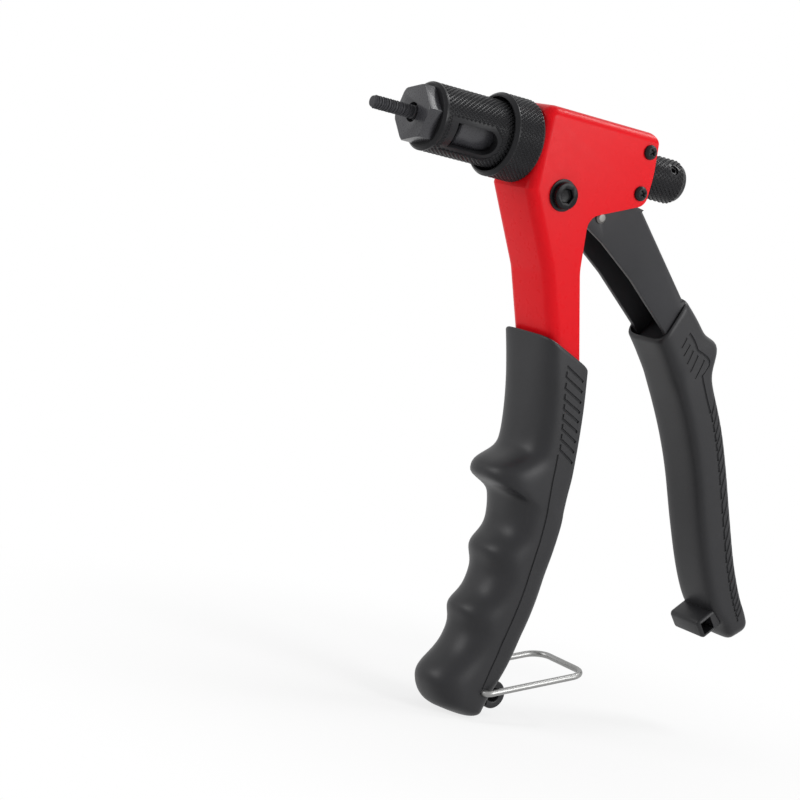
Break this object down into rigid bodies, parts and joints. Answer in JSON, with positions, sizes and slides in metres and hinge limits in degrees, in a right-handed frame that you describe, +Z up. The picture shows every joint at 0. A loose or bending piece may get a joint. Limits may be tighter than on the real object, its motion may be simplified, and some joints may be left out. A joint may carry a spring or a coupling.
{
  "type": "rivet nut tool",
  "caption": "Two-handled rivet nut setting tool with a knurled barrel, a red pressed steel body, a black lever, moulded grips and a wire bail",
  "frame": {"origin": "on the mandrel's axis, in the front face of the nosepiece", "axes": "X runs back along the nose axis, Y runs across the tool to the far side, Z runs up from the handles to the head"},
  "size_m": [0.23, 0.0353, 0.2314],
  "materials": {
    "red_paint": "gloss",
    "black_paint": "satin",
    "black_steel": "satin",
    "bright_steel": "brushed",
    "grip": "matte"
  },
  "bodies": {
    "frame": {"body_frame": "red_paint", "front_grip": "grip", "front_bush": "black_steel", "rear_block": "black_steel", "rear_screws": "black_steel", "pivot_bolt": "black_steel", "bolt_washers": "black_steel", "pivot_nut": "black_steel", "pivot_sleeve": "bright_steel", "lever_washers": "bright_steel", "return_spring": "bright_steel"},
    "lever": {"lever_channel": "black_paint", "lever_cross_pin": "bright_steel", "rear_grip": "grip"},
    "carriage": {"yoke_block": "black_steel", "drive_pins": "bright_steel", "thrust_washer": "bright_steel"},
    "spindle": {"pull_rod": "bright_steel", "chuck": "black_steel", "mandrel": "black_steel", "rod_collar": "black_steel", "rear_knob": "black_steel", "knob_set_screw": "black_steel"},
    "barrel_unit": {"barrel": "black_steel", "nosepiece": "black_steel"},
    "ring_unit": {"lock_ring": "black_steel"},
    "bail": {"wire_bail": "bright_steel"}
  },
  "joints": [
    {"name": "lever_pivot", "type": "hinge", "parent": "frame", "child": "lever", "pos_m": [0.0642, 0, -0.0157], "axis": [0, 1, 0], "range_deg": [0, 19.5], "stiffness_Nm_per_rad": 1.5, "springref_deg": -20.05},
    {"name": "pull_slide", "type": "slide", "parent": "frame", "child": "carriage", "axis": [1, 0, 0], "range_m": [0, 0.0054], "deforming": ["return_spring"]},
    {"name": "spindle_spin", "type": "hinge", "parent": "carriage", "child": "spindle", "pos_m": [0, 0, 0], "axis": [1, 0, 0], "continuous": true},
    {"name": "barrel_turn", "type": "hinge", "parent": "frame", "child": "barrel_unit", "pos_m": [0, 0, 0], "axis": [1, 0, 0], "continuous": true},
    {"name": "ring_turn", "type": "hinge", "parent": "frame", "child": "ring_unit", "pos_m": [0, 0, 0], "axis": [1, 0, 0], "continuous": true},
    {"name": "bail_swing", "type": "hinge", "parent": "frame", "child": "bail", "pos_m": [0.0822, 0, -0.2038], "axis": [0, 1, 0], "range_deg": [-45, 90]}
  ],
  "couplings": [
    {"joint": "pull_slide", "follows": "lever_pivot", "m_per_rad": 0.0157}
  ]
}
